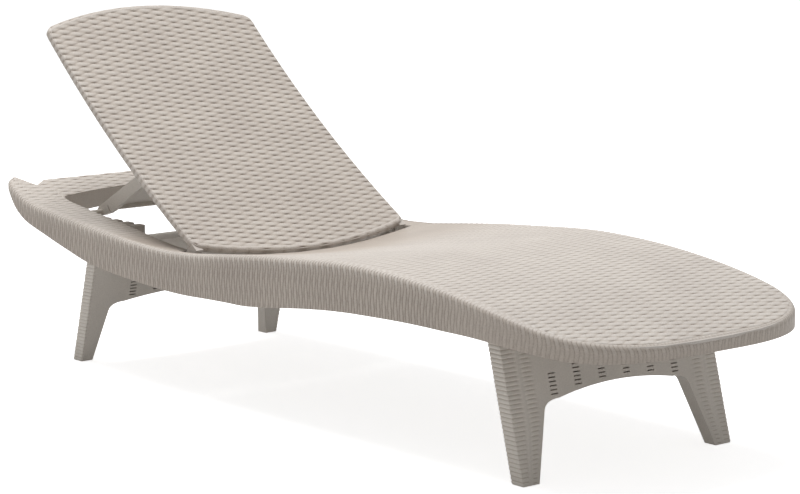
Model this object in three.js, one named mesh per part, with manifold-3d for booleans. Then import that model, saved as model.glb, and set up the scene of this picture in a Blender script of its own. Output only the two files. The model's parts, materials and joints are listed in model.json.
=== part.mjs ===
// Sun lounger in moulded resin: a curved deck on two arched leg frames, with a hinged backrest
// that a notched prop holds up. Millimetres, +Z up, +X towards the foot end, floor at z = 0,
// origin under the middle of the deck.
import * as THREE from 'three';
import { mergeVertices } from 'three/addons/utils/BufferGeometryUtils.js';
import Module from 'manifold-3d';

const wasm = await Module();
wasm.setup();

// Deck moulding
const LENGTH = 1955;
const WIDTH = 688;
const CREST_HEIGHT = 369;
const SKIRT_DEPTH = 106;
const DISH_DEPTH = 28;
const EDGE_RADIUS = 12;
const WALL = 5;
const FOOT_TIP_WIDTH = 120;
const FOOT_ROUND_LENGTH = 577;
const HORN_INSET = 41;
const HEAD_TIP_WIDTH = WIDTH - 2 * HORN_INSET;
const HEAD_ROUND_LENGTH = 577;
const RIM_DEPTH = 45;
const RIB_THICKNESS = 4;
const RIB_DEPTH = 22;
const RIB_PITCH = 150;
const STRINGER_PITCH = 300;

// Opening in the deck and the crossbar behind it
const RAIL_WIDTH = 102;
const HINGE_RAIL_WIDTH = 82;
const OPENING_WIDTH = WIDTH - 2 * RAIL_WIDTH;
const OPENING_HINGE_WIDTH = WIDTH - 2 * HINGE_RAIL_WIDTH;
const OPENING_CORNER = 26;
const OPENING_BOW = 20;
const CROSSBAR_DEPTH = 64;
const CROSSBAR_SETBACK = 27;
const CROSSBAR_BOW = 10;
const HORN_WIDTH = 79;
const NOTCH_WIDTH = WIDTH - 2 * HORN_WIDTH;
const NOTCH_FLARE = 30;
const NOTCH_DEPTH = 47;

// Backrest, measured about its hinge as it lies flat
const HINGE_INSET = 692;
const HINGE_DROP = 15;
const PANEL_LENGTH = 717;
const PANEL_RAIL_WIDTH = 52.5;
const PANEL_TAPER = 10;
const PANEL_BOTTOM_WIDTH = WIDTH - 2 * PANEL_RAIL_WIDTH;
const PANEL_TOP_WIDTH = PANEL_BOTTOM_WIDTH - PANEL_TAPER;
const PANEL_BULGE = 52;
const PANEL_CORNER = 18;
const PANEL_SAG = 20;
const PANEL_AHEAD = 3.6;
const PANEL_ABOVE = 29.8;
const PANEL_LIP = 13;
const PANEL_SKIN = 4.5;
const PANEL_WALL = 5;
const PANEL_RIB = 4;
const PANEL_ROWS = 8;
const PANEL_COLUMNS = 5;
const PANEL_TILT = THREE.MathUtils.degToRad(6.8);
const RAISED_ANGLE = THREE.MathUtils.degToRad(30);
const PANEL_SIDE_GAP = 8.5;
const PANEL_SWING_GAP = 6;

// Hinge
const HINGE_PIN_RADIUS = 5;
const HINGE_HEAD_RADIUS = 9;
const HINGE_HEAD_THICKNESS = 4;
const HINGE_EAR_RADIUS = 13;
const HINGE_EAR_WIDTH = 18;
const HINGE_BOSS_RADIUS = 13;
const HINGE_BOSS_LENGTH = 17;
const HINGE_POCKET = 25;

// Prop, measured from its pivot on the back of the backrest
const PROP_PIVOT_BACK = 290.5;
const PROP_PIVOT_ABOVE = 13.1;
const PROP_LENGTH = 251.4;
const PROP_TIP = 26;
const PROP_TIP_HEIGHT = 8;
const PROP_DROP = THREE.MathUtils.degToRad(28.93);
const PROP_SIDE_GAP = 36;
const PROP_WIDTH = OPENING_WIDTH - 2 * PROP_SIDE_GAP;
const PROP_ARM_WIDTH = 14;
const PROP_ARM_HEIGHT = 30;
const PROP_EYE_RADIUS = 11;
const PROP_EYE_RUN = 40;
const PROP_WEB_START = 19;
const PROP_WEB_LENGTH = 202;
const PROP_WEB_THICKNESS = 5;
const PROP_WEB_HOLE_RADIUS = 7;
const PROP_NOTCH_SETBACK = 33;
const PROP_NOTCH_WIDTH = 5;
const PROP_NOTCH_DEPTH = 18;
const PROP_STUD_RADIUS = 5.5;
const PROP_STUD_LENGTH = 30;
const PROP_PIN_RADIUS = 4;
const PROP_PIN_HEAD_RADIUS = 8;
const PROP_PIN_HEAD_THICKNESS = 3;
const PROP_CLIP_THICKNESS = 4;
const PROP_LUG_WIDTH = 13;
const PROP_LUG_LENGTH = 30;

// Racks
const RACK_LENGTH = 272;
const RACK_HEIGHT = 32;
const RACK_THICKNESS = 29;
const RACK_TEETH = 6;
const RACK_TOOTH_DEPTH = 10;
const RACK_TOOTH_SHARE = 0.25;
const RACK_BACK = 86;
const RACK_FOOT_CLEARANCE = 2.5;
const RACK_SCREW_INSET = 45;

// Leg frames
const FOOT_LEG_INSET = 232;
const HEAD_LEG_INSET = 227;
const LEG_THICKNESS = 30;
const LEG_FRAME_INSET = 65;
const FOOT_LEG_WIDTH = 41;
const HEAD_LEG_WIDTH = 30;
const FOOT_LEG_TAPER_SHARE = 0.34;
const HEAD_LEG_TAPER_SHARE = 0.22;
const LEG_RAKE_SHARE = 0.27;
const LEG_FRAME_WIDTH = WIDTH - 2 * LEG_FRAME_INSET;
const FOOT_ARCH_HEIGHT = 160;
const HEAD_ARCH_HEIGHT = 149;
const ARCH_BOW = 14;
const ARCH_CORNER = 36;
const FOOT_SEAT_DROP = 34;
const HEAD_SEAT_DROP = 68;
const FLANGE_DEPTH = 84;
const FLANGE_THICKNESS = 8;
const SEAT_RIB_INSET = 8;
const SLOT_WIDTH = 18;
const SLOT_HEIGHT = 2.6;
const SLOT_COLUMN_PITCH = 65;
const SLOT_ROW_PITCH = 7.6;
const SLOT_LIFT = 9;
const SLOT_COLUMNS = 6;
const SLOT_ROWS = 6;

// Screws
const SCREW_RADIUS = 2.5;
const SCREW_HEAD_RADIUS = 6;
const SCREW_HEAD_THICKNESS = 4;
const SCREW_GRIP = 16;
const BOSS_RADIUS = 9;
const LEG_SCREW_INSET = 26.5;
const LEG_SCREW_OFFSET = 29;

// Clearances
const SEAT_GAP = 0.3;
const RUNNING_GAP = 0.4;
const OVERRUN = 40;

// Facets
const ROUND_SEGMENTS = 24;
const SCREW_SEGMENTS = 12;
const ARC_SEGMENTS = 14;

// Rounded plan ends: powers of the curve from the straight side to the tip
const FOOT_ROUND_POWER = 8;
const FOOT_TIP_POWER = 2.3;
const HEAD_ROUND_POWER = 10;
const HEAD_TIP_POWER = 2;

// Side view: place along the deck as a share of half the length, then a height
// as a share of the crest height or a depth as a share of the skirt depth
const CREASE_SHARES = [
  [-1, 1.09], [-0.93, 1.024], [-0.87, 0.975], [-0.79, 0.949], [-0.59, 0.9], [-0.38, 0.867], [-0.25, 0.869],
  [-0.1, 0.911], [0.015, 0.943], [0.13, 0.967], [0.26, 0.992], [0.36, 1], [0.51, 0.987], [0.665, 0.946],
  [0.82, 0.877], [0.92, 0.816], [1, 0.762],
];
const SKIRT_SHARES = [
  [-1, 0.12], [-0.97, 0.17], [-0.92, 0.35], [-0.83, 0.46], [-0.7, 0.64], [-0.6, 0.755], [-0.31, 0.81],
  [-0.2, 0.86], [-0.09, 0.94], [0, 1], [0.18, 0.935], [0.39, 0.868], [0.6, 0.717], [0.72, 0.58],
  [0.86, 0.43], [0.94, 0.34], [1, 0.25],
];
const DISH_SHARES = [
  [-1, 0], [-0.88, 0], [-0.6, 0.45], [-0.35, 0.95], [-0.2, 1], [0, 0.75], [0.36, 0.1], [0.5, 0], [1, 0],
];

// Where the deck's cross-sections lie, closer together at the rounded ends
const SECTION_SHARES = [
  -1, -0.993, -0.98, -0.96, -0.93, -0.89, -0.84, -0.78, -0.7, -0.62, -0.54, -0.46, -0.38, -0.3,
  -0.22, -0.14, -0.06, 0.02, 0.1, 0.18, 0.26, 0.34, 0.42, 0.5, 0.57, 0.64, 0.7, 0.75, 0.8, 0.84,
  0.87, 0.9, 0.92, 0.94, 0.957, 0.97, 0.981, 0.99, 0.996, 1,
];
const ACROSS_SHARES = [0.75, 0.45, 0.15, -0.15, -0.45, -0.75];
const INNER_ACROSS_SHARES = [0.5, 0, -0.5];

const HALF_LENGTH = LENGTH / 2;
const HALF_WIDTH = WIDTH / 2;

// Solids and their booleans

const solid = (geometry) => {
  geometry.deleteAttribute('normal');
  geometry.deleteAttribute('uv');
  const merged = mergeVertices(geometry);
  const vertProperties = new Float32Array(merged.attributes.position.array);
  const triVerts = new Uint32Array(merged.index.array);
  return new wasm.Manifold(new wasm.Mesh({ numProp: 3, vertProperties, triVerts }));
};

const geometryOf = (body) => {
  const mesh = body.getMesh();
  const geometry = new THREE.BufferGeometry();
  geometry.setAttribute('position', new THREE.BufferAttribute(mesh.vertProperties, 3));
  geometry.setIndex(new THREE.BufferAttribute(mesh.triVerts, 1));
  geometry.computeVertexNormals();
  return geometry;
};

const joined = (bodies) => bodies.reduce((sum, body) => sum.add(body));
const without = (body, cutters) => cutters.reduce((rest, cutter) => rest.subtract(cutter), body);

// A smooth height through a table of [place, value], flat beyond its ends
const smooth = (table, place) => {
  const last = table.length - 1;
  const after = table.findIndex(([at]) => at >= place);
  if (after === 0) return table[0][1];
  if (after < 0) return table[last][1];
  const slope = (i) => {
    const [before, next] = [table[Math.max(i - 1, 0)], table[Math.min(i + 1, last)]];
    return (next[1] - before[1]) / (next[0] - before[0]);
  };
  const [[from, low], [to, high]] = [table[after - 1], table[after]];
  const run = to - from;
  const t = (place - from) / run;
  const ease = t * t * (3 - 2 * t);
  const lead = t * (1 - t) * (1 - t) * run * slope(after - 1);
  const trail = t * t * (t - 1) * run * slope(after);
  return low + (high - low) * ease + lead + trail;
};

// A closed skin over rings of points, each ring as long as the last
const loft = (rings) => {
  const geometry = new THREE.BufferGeometry();
  const count = rings[0].length;
  const faces = [];
  for (let ring = 0; ring < rings.length - 1; ring += 1) {
    for (let i = 0; i < count; i += 1) {
      const [a, b] = [ring * count + i, ring * count + (i + 1) % count];
      faces.push(a, b, a + count, b, b + count, a + count);
    }
  }
  const cap = (ring) => {
    const flat = rings[ring].map(([, y, z]) => new THREE.Vector2(y, z));
    return THREE.ShapeUtils.triangulateShape(flat, []);
  };
  const start = (rings.length - 1) * count;
  cap(0).forEach(([a, b, c]) => faces.push(c, b, a));
  cap(rings.length - 1).forEach(([a, b, c]) => faces.push(start + a, start + b, start + c));
  geometry.setAttribute('position', new THREE.Float32BufferAttribute(rings.flat(2), 3));
  geometry.setIndex(faces);
  return geometry;
};

// An outline seen from above, cut out between two heights
const upright = (shape, bottom, top, segments = ARC_SEGMENTS) => {
  const options = { depth: top - bottom, bevelEnabled: false, curveSegments: segments };
  const geometry = new THREE.ExtrudeGeometry(shape, options);
  return solid(geometry.translate(0, 0, bottom));
};

// An outline seen from the near side, in x and z, run across the part between two places in y
const across = (shape, from, to) => {
  const options = { depth: to - from, bevelEnabled: false, curveSegments: ARC_SEGMENTS };
  const geometry = new THREE.ExtrudeGeometry(shape, options);
  return solid(geometry.rotateX(Math.PI / 2).translate(0, to, 0));
};

const block = (x0, x1, y0, y1, z0, z1) => {
  const geometry = new THREE.BoxGeometry(x1 - x0, y1 - y0, z1 - z0);
  return solid(geometry.translate((x0 + x1) / 2, (y0 + y1) / 2, (z0 + z1) / 2));
};

// A round bar along Y
const crossBar = (radius, from, to, x, z, segments = ROUND_SEGMENTS) => {
  const [low, high] = [Math.min(from, to), Math.max(from, to)];
  const geometry = new THREE.CylinderGeometry(radius, radius, high - low, segments);
  return solid(geometry.translate(x, (low + high) / 2, z));
};

// A round bar along Z
const post = (radius, bottom, top, x, y, segments = ROUND_SEGMENTS) => {
  const geometry = new THREE.CylinderGeometry(radius, radius, top - bottom, segments);
  return solid(geometry.rotateX(Math.PI / 2).translate(x, y, (bottom + top) / 2));
};

const polygon = (points) => new THREE.Shape(points.map(([x, y]) => new THREE.Vector2(x, y)));

// Deck surface

const creaseAt = (x) => CREST_HEIGHT * smooth(CREASE_SHARES, x / HALF_LENGTH);
const skirtDepthAt = (x) => SKIRT_DEPTH * smooth(SKIRT_SHARES, x / HALF_LENGTH);
const dishAt = (x) => DISH_DEPTH * smooth(DISH_SHARES, x / HALF_LENGTH);

const halfWidthAt = (x) => {
  const atFoot = x > 0;
  const tip = (atFoot ? FOOT_TIP_WIDTH : HEAD_TIP_WIDTH) / 2;
  const run = atFoot ? FOOT_ROUND_LENGTH : HEAD_ROUND_LENGTH;
  const along = Math.min(Math.max((Math.abs(x) - HALF_LENGTH + run) / run, 0), 1);
  const round = 1 - along ** (atFoot ? FOOT_ROUND_POWER : HEAD_ROUND_POWER);
  return tip + (HALF_WIDTH - tip) * round ** (1 / (atFoot ? FOOT_TIP_POWER : HEAD_TIP_POWER));
};

const topAt = (x, y) => creaseAt(x) - dishAt(x) * (1 - (y / halfWidthAt(x)) ** 2);

// The deck as a solid slab, drawn in from its outer faces by the inset, down to the given underside
const slab = (inset, underside, acrossShares) => {
  const rings = SECTION_SHARES.map((share) => {
    const outerX = share * HALF_LENGTH;
    const x = share * (HALF_LENGTH - inset);
    const half = halfWidthAt(outerX) - inset;
    const radius = Math.min(EDGE_RADIUS, skirtDepthAt(outerX) / 2);
    const height = (y) => topAt(outerX, y) - inset;
    const bottom = underside(outerX);
    const cut = radius * (1 - Math.SQRT1_2);
    const bend = inset > 0 ? [] : [cut];
    const side = (sign) => [
      [x, sign * half, bottom],
      [x, sign * half, height(half) - radius],
      ...bend.map((depth) => [x, sign * (half - depth), height(half) - depth]),
      [x, sign * (half - radius), height(half - radius)],
    ];
    const middle = acrossShares.map((part) => [x, part * (half - radius), height(part * (half - radius))]);
    return [...side(1), ...middle, ...side(-1).reverse()];
  });
  return solid(loft(rings));
};

const deckSkin = slab(0, (x) => creaseAt(x) - skirtDepthAt(x), ACROSS_SHARES);
const deckHollow = slab(WALL, (x) => creaseAt(x) - SKIRT_DEPTH - OVERRUN, INNER_ACROSS_SHARES);

// A layer of the deck as deep as asked, and never below the skirt
const layer = (depth) => slab(
  WALL / 2, (x) => creaseAt(x) - dishAt(x) - Math.min(depth, skirtDepthAt(x)), INNER_ACROSS_SHARES,
);

// Hinge, pivot and foot places in the plane y = 0

const hinge = new THREE.Vector2(HINGE_INSET - HALF_LENGTH, creaseAt(HINGE_INSET - HALF_LENGTH) - HINGE_DROP);

// Turns a point about the origin; a positive angle lifts what points towards the head end
const lifted = (x, z, angle) => [
  x * Math.cos(angle) + z * Math.sin(angle),
  z * Math.cos(angle) - x * Math.sin(angle),
];

const [pivotX, pivotZ] = lifted(-PROP_PIVOT_BACK, PROP_PIVOT_ABOVE, RAISED_ANGLE);
const propFootHeight = hinge.y + pivotZ - PROP_LENGTH * Math.sin(PROP_DROP);

// The front edge of the backrest's foot end, in the plan and about the hinge
const bulgeRadius = ((PANEL_BOTTOM_WIDTH / 2) ** 2 + PANEL_BULGE ** 2) / (2 * PANEL_BULGE);
const bulgeAt = (y) => Math.sqrt(bulgeRadius ** 2 - y ** 2) - bulgeRadius + PANEL_BULGE;
const sagAt = (t) => 4 * PANEL_SAG * (t / PANEL_LENGTH) * (1 - t / PANEL_LENGTH);
const swingAt = (y) => {
  const [x, z] = lifted(bulgeAt(y), -sagAt(-bulgeAt(y)), PANEL_TILT);
  return Math.hypot(x + PANEL_AHEAD, z + PANEL_ABOVE);
};

// Opening in the deck, seen from above: the head edge bows towards the head end, the sides
// splay to the hinge pockets and the foot edge follows the swing of the backrest

const pocketHalf = PANEL_BOTTOM_WIDTH / 2 + PANEL_SIDE_GAP;

const openingOutline = (grow) => {
  const headX = -HALF_LENGTH + CROSSBAR_SETBACK + CROSSBAR_DEPTH - grow;
  const half = OPENING_WIDTH / 2 + grow;
  const cornerX = headX + OPENING_BOW;
  const pocketX = hinge.x - HINGE_POCKET - grow;
  const pocketY = pocketHalf + grow;
  const splayX = hinge.x - PROP_PIVOT_BACK - PANEL_SAG;
  const hingeHalf = OPENING_HINGE_WIDTH / 2 + grow;
  const footEdge = [];
  for (let i = 0; i <= ARC_SEGMENTS; i += 1) {
    const share = 1 - (2 * i) / ARC_SEGMENTS;
    const y = share * (PANEL_BOTTOM_WIDTH / 2);
    footEdge.push([hinge.x + swingAt(y) + PANEL_SWING_GAP + grow, share * pocketY]);
  }
  const shape = new THREE.Shape();
  shape.moveTo(cornerX, -half + OPENING_CORNER);
  shape.quadraticCurveTo(cornerX, -half, cornerX + OPENING_CORNER, -half);
  shape.lineTo(splayX, -half);
  shape.lineTo(pocketX, -hingeHalf);
  shape.lineTo(pocketX, -pocketY);
  footEdge.reverse().forEach(([x, y]) => shape.lineTo(x, y));
  shape.lineTo(pocketX, pocketY);
  shape.lineTo(pocketX, hingeHalf);
  shape.lineTo(splayX, half);
  shape.lineTo(cornerX + OPENING_CORNER, half);
  shape.quadraticCurveTo(cornerX, half, cornerX, half - OPENING_CORNER);
  shape.quadraticCurveTo(headX - OPENING_BOW, 0, cornerX, -half + OPENING_CORNER);
  return shape;
};

// The notch between the two horns, behind the crossbar
const notchOutline = (grow) => {
  const rearX = -HALF_LENGTH - OVERRUN;
  const cornerX = -HALF_LENGTH + NOTCH_DEPTH + grow;
  const middleX = -HALF_LENGTH + CROSSBAR_SETBACK + grow;
  const half = NOTCH_WIDTH / 2 + grow;
  const edgeX = (middleX + cornerX) / 2 - CROSSBAR_BOW;
  const shape = new THREE.Shape();
  shape.moveTo(rearX, -half - NOTCH_FLARE - OVERRUN * (NOTCH_FLARE / NOTCH_DEPTH));
  shape.lineTo(cornerX, -half);
  shape.lineTo(edgeX, -half + NOTCH_FLARE);
  shape.quadraticCurveTo(middleX - (edgeX - middleX), 0, edgeX, half - NOTCH_FLARE);
  shape.lineTo(cornerX, half);
  shape.lineTo(rearX, half + NOTCH_FLARE + OVERRUN * (NOTCH_FLARE / NOTCH_DEPTH));
  return shape;
};

// Leg frame places

const footLegX = HALF_LENGTH - FOOT_LEG_INSET;
const headLegX = HEAD_LEG_INSET - HALF_LENGTH;
const legFrames = [
  {
    end: 'foot',
    sign: 1,
    x: footLegX,
    seat: creaseAt(footLegX) - FOOT_SEAT_DROP,
    arch: FOOT_ARCH_HEIGHT,
    legWidth: FOOT_LEG_WIDTH,
    taper: FOOT_LEG_TAPER_SHARE,
  },
  {
    end: 'head',
    sign: -1,
    x: headLegX,
    seat: creaseAt(headLegX) - HEAD_SEAT_DROP,
    arch: HEAD_ARCH_HEIGHT,
    legWidth: HEAD_LEG_WIDTH,
    taper: HEAD_LEG_TAPER_SHARE,
  },
];
const seatX = ({ sign, x, seat }) => x - sign * LEG_RAKE_SHARE * seat;

const legScrewPlaces = (frame) => [1, -1].flatMap((side) => [1, -1].map((lead) => ({
  x: seatX(frame) + lead * LEG_SCREW_OFFSET,
  y: side * (LEG_FRAME_WIDTH / 2 - LEG_SCREW_INSET),
})));

// Frame shell

const ceiling = CREST_HEIGHT + OVERRUN;

const strips = (count, pitch, make) => {
  const places = Array.from({ length: count }, (_, i) => (i - (count - 1) / 2) * pitch);
  return joined(places.map(make));
};

const shellRibs = () => {
  const ribCount = Math.floor(LENGTH / RIB_PITCH) - 1;
  const stringerCount = Math.floor(WIDTH / STRINGER_PITCH);
  const crossRibs = strips(ribCount, RIB_PITCH, (x) => block(
    x - RIB_THICKNESS / 2, x + RIB_THICKNESS / 2, -HALF_WIDTH, HALF_WIDTH, 0, ceiling,
  ));
  const stringers = strips(stringerCount, STRINGER_PITCH, (y) => block(
    -HALF_LENGTH, HALF_LENGTH, y - RIB_THICKNESS / 2, y + RIB_THICKNESS / 2, 0, ceiling,
  ));
  return crossRibs.add(stringers).intersect(layer(RIB_DEPTH));
};

// Two ribs and four bosses that come down to the top of a leg frame
const legSeat = (frame) => {
  const reach = FLANGE_DEPTH / 2 - SEAT_RIB_INSET;
  const ribs = [reach, -reach].map((offset) => block(
    seatX(frame) + offset - RIB_THICKNESS / 2,
    seatX(frame) + offset + RIB_THICKNESS / 2,
    -HALF_WIDTH, HALF_WIDTH, frame.seat, ceiling,
  ));
  const bosses = legScrewPlaces(frame).map(({ x, y }) => post(BOSS_RADIUS, frame.seat, ceiling, x, y));
  return joined([...ribs, ...bosses]).intersect(layer(SKIRT_DEPTH + OVERRUN));
};

const legScrewHoles = (frame) => legScrewPlaces(frame).map(({ x, y }) => post(
  SCREW_RADIUS + SEAT_GAP, frame.seat - OVERRUN, frame.seat + SCREW_GRIP + SEAT_GAP, x, y,
));

const hingeBosses = () => joined([1, -1].map((side) => crossBar(
  HINGE_BOSS_RADIUS, side * (pocketHalf - WALL), side * (pocketHalf + HINGE_BOSS_LENGTH), hinge.x, hinge.y,
)));

const pinHoles = () => joined([1, -1].map((side) => crossBar(
  HINGE_PIN_RADIUS + SEAT_GAP, 0, side * (pocketHalf + HINGE_BOSS_LENGTH - WALL), hinge.x, hinge.y,
)));

// Rack places: against the sides of the opening, with the tooth tops under the prop's studs
const rackTop = propFootHeight - PROP_STUD_RADIUS - RACK_FOOT_CLEARANCE - RUNNING_GAP;
const rackBottom = rackTop - RACK_HEIGHT;
const rackOuter = OPENING_WIDTH / 2 - SEAT_GAP;
const rackInner = rackOuter - RACK_THICKNESS;
const rackStart = -HALF_LENGTH + CROSSBAR_SETBACK + RACK_BACK + OPENING_CORNER;
const rackMiddleZ = rackBottom + (RACK_HEIGHT - RACK_TOOTH_DEPTH) / 2;
const rackScrewXs = [rackStart + RACK_SCREW_INSET, rackStart + RACK_LENGTH - RACK_SCREW_INSET];
const rackSides = [{ name: 'right', side: -1 }, { name: 'left', side: 1 }];

const rackHoles = (side) => rackScrewXs.map((x) => crossBar(
  SCREW_RADIUS + SEAT_GAP, 0, side * (rackOuter + SCREW_GRIP), x, rackMiddleZ, SCREW_SEGMENTS,
));

const frameShell = () => {
  const opening = upright(openingOutline(0), 0, ceiling);
  const notch = upright(notchOutline(0), 0, ceiling);
  const openingRim = upright(openingOutline(WALL), 0, ceiling);
  const notchRim = upright(notchOutline(WALL), 0, ceiling);
  const rims = openingRim.add(notchRim).intersect(layer(RIM_DEPTH));
  const bosses = hingeBosses().intersect(layer(SKIRT_DEPTH + OVERRUN));
  const seats = legFrames.map(legSeat);
  const shell = joined([deckSkin.subtract(deckHollow), rims, shellRibs(), ...seats]);
  const cutters = [...legFrames.flatMap(legScrewHoles), ...rackSides.flatMap(({ side }) => rackHoles(side))];
  const opened = without(shell, [opening, notch]).add(bosses.subtract(opening));
  return without(opened, [pinHoles(), ...cutters]);
};

// Leg frame: a raked transverse arch with a flange on top and rows of slots over the arch

const legInnerAt = ({ legWidth, taper }, z) => LEG_FRAME_WIDTH / 2 - legWidth - taper * z;
const crownHalfOf = (frame) => legInnerAt(frame, frame.arch - ARCH_BOW) - ARCH_CORNER;
const crownAt = (frame, y) => frame.arch - ARCH_BOW * (y / crownHalfOf(frame)) ** 2;

const legPanelShape = (frame) => {
  const half = LEG_FRAME_WIDTH / 2;
  const top = frame.seat - FLANGE_THICKNESS / 2;
  const crown = frame.arch - ARCH_BOW;
  const shoulder = crown - ARCH_CORNER / 2;
  const innerAt = (z) => legInnerAt(frame, z);
  const crownHalf = crownHalfOf(frame);
  const shape = new THREE.Shape();
  shape.moveTo(-half, 0);
  shape.lineTo(-half, top);
  shape.lineTo(half, top);
  shape.lineTo(half, 0);
  shape.lineTo(innerAt(0), 0);
  shape.lineTo(innerAt(shoulder), shoulder);
  shape.quadraticCurveTo(innerAt(crown), crown, crownHalf, crown);
  shape.quadraticCurveTo(0, frame.arch + ARCH_BOW, -crownHalf, crown);
  shape.quadraticCurveTo(-innerAt(crown), crown, -innerAt(shoulder), shoulder);
  shape.lineTo(-innerAt(0), 0);
  return shape;
};

// The rows of slots over the arch, cut straight through along X
const legSlots = (frame) => {
  const reach = LEG_THICKNESS + LEG_RAKE_SHARE * frame.seat;
  const slots = [];
  for (let column = 0; column < SLOT_COLUMNS; column += 1) {
    for (let row = 0; row < SLOT_ROWS; row += 1) {
      const y = (column - (SLOT_COLUMNS - 1) / 2) * SLOT_COLUMN_PITCH;
      const z = crownAt(frame, y) + SLOT_LIFT + row * SLOT_ROW_PITCH;
      slots.push(block(
        frame.x - reach, frame.x + reach, y - SLOT_WIDTH / 2, y + SLOT_WIDTH / 2, z, z + SLOT_HEIGHT,
      ));
    }
  }
  return slots;
};

const legFrame = (frame) => {
  const options = { depth: LEG_THICKNESS, bevelEnabled: false, curveSegments: ARC_SEGMENTS };
  const geometry = new THREE.ExtrudeGeometry(legPanelShape(frame), options);
  geometry.translate(0, 0, -LEG_THICKNESS / 2);
  geometry.rotateX(Math.PI / 2).rotateZ(Math.PI / 2);
  const rake = new THREE.Matrix4().makeShear(0, 0, 0, 0, -frame.sign * LEG_RAKE_SHARE, 0);
  const panel = solid(geometry.applyMatrix4(rake).translate(frame.x, 0, 0));
  const top = frame.seat - SEAT_GAP;
  const flange = block(
    seatX(frame) - FLANGE_DEPTH / 2, seatX(frame) + FLANGE_DEPTH / 2,
    -LEG_FRAME_WIDTH / 2, LEG_FRAME_WIDTH / 2, top - FLANGE_THICKNESS, top,
  );
  return without(panel.add(flange), [...legSlots(frame), ...legScrewHoles(frame)]);
};

// Backrest panel, in the board's own frame: x runs back from its foot corners, z out of its face

const arcPoint = (centre, radius, angle) => [centre + radius * Math.cos(angle), radius * Math.sin(angle)];

const boardOutline = (inset) => {
  const bottomHalf = PANEL_BOTTOM_WIDTH / 2 - inset;
  const topHalf = PANEL_TOP_WIDTH / 2 - inset;
  const bulge = PANEL_BULGE;
  const bottomRadius = (bottomHalf ** 2 + bulge ** 2) / (2 * bulge);
  const topRadius = (topHalf ** 2 + bulge ** 2) / (2 * bulge);
  const corner = PANEL_CORNER - inset;
  const bottomTurn = Math.asin((bottomHalf - corner) / bottomRadius);
  const topTurn = Math.asin((topHalf - corner) / topRadius);
  const topX = inset - PANEL_LENGTH;
  const shape = new THREE.Shape();
  shape.absarc(bulge - inset - bottomRadius, 0, bottomRadius, -bottomTurn, bottomTurn, false);
  shape.quadraticCurveTo(-inset, bottomHalf, -inset - corner, bottomHalf);
  shape.lineTo(topX + corner, topHalf);
  shape.quadraticCurveTo(topX, topHalf, ...arcPoint(topX - bulge + topRadius, topRadius, Math.PI - topTurn));
  shape.absarc(topX - bulge + topRadius, 0, topRadius, Math.PI - topTurn, Math.PI + topTurn, false);
  shape.quadraticCurveTo(topX, -topHalf, topX + corner, -topHalf);
  shape.lineTo(-inset - corner, -bottomHalf);
  shape.quadraticCurveTo(
    -inset, -bottomHalf, ...arcPoint(bulge - inset - bottomRadius, bottomRadius, -bottomTurn),
  );
  return shape;
};

const boardProfile = (front, back) => {
  const steps = ARC_SEGMENTS;
  const from = -PANEL_BULGE - OVERRUN;
  const run = PANEL_LENGTH - 2 * from;
  const face = Array.from({ length: steps + 1 }, (_, i) => from + (run * i) / steps);
  return polygon([
    ...face.map((t) => [-t, -sagAt(t) - back]),
    ...face.reverse().map((t) => [-t, -sagAt(t) - front]),
  ]);
};

const boardPockets = () => {
  const run = PANEL_LENGTH + 2 * PANEL_BULGE;
  const rowPitch = run / PANEL_ROWS;
  const columnPitch = PANEL_BOTTOM_WIDTH / PANEL_COLUMNS;
  const reach = PANEL_BOTTOM_WIDTH;
  const ribs = [];
  for (let row = 1; row < PANEL_ROWS; row += 1) {
    const x = PANEL_BULGE - row * rowPitch;
    ribs.push(block(x - PANEL_RIB / 2, x + PANEL_RIB / 2, -reach, reach, -reach, OVERRUN));
  }
  for (let column = 1; column < PANEL_COLUMNS; column += 1) {
    const y = (column - PANEL_COLUMNS / 2) * columnPitch;
    ribs.push(block(-run, run, y - PANEL_RIB / 2, y + PANEL_RIB / 2, -reach, OVERRUN));
  }
  const hollow = across(boardProfile(PANEL_SKIN, PANEL_LIP + OVERRUN), -reach, reach)
    .intersect(upright(boardOutline(PANEL_WALL), -reach, OVERRUN));
  return without(hollow, ribs);
};

// A point given about the hinge as the backrest lies flat, in the board's frame
const onBoard = (x, z) => lifted(x - PANEL_AHEAD, z - PANEL_ABOVE, -PANEL_TILT);

// A lug that hangs from the back of the board round an axis across it
const lug = (axisX, axisZ, radius, length, from, to) => {
  const [x, z] = onBoard(axisX, axisZ);
  const root = -sagAt(-x) - PANEL_SKIN / 2;
  const shape = new THREE.Shape();
  shape.moveTo(x + length / 2, root);
  shape.lineTo(x - length / 2, root);
  shape.lineTo(x - radius, z);
  shape.absarc(x, z, radius, Math.PI, 2 * Math.PI, false);
  return across(shape, Math.min(from, to), Math.max(from, to));
};

const earOuter = PANEL_BOTTOM_WIDTH / 2;
const earInner = earOuter - HINGE_EAR_WIDTH;
const armOuter = PROP_WIDTH / 2;
const armInner = armOuter - PROP_ARM_WIDTH;
const lugOuter = armInner - RUNNING_GAP;
const lugInner = lugOuter - PROP_LUG_WIDTH;

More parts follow.
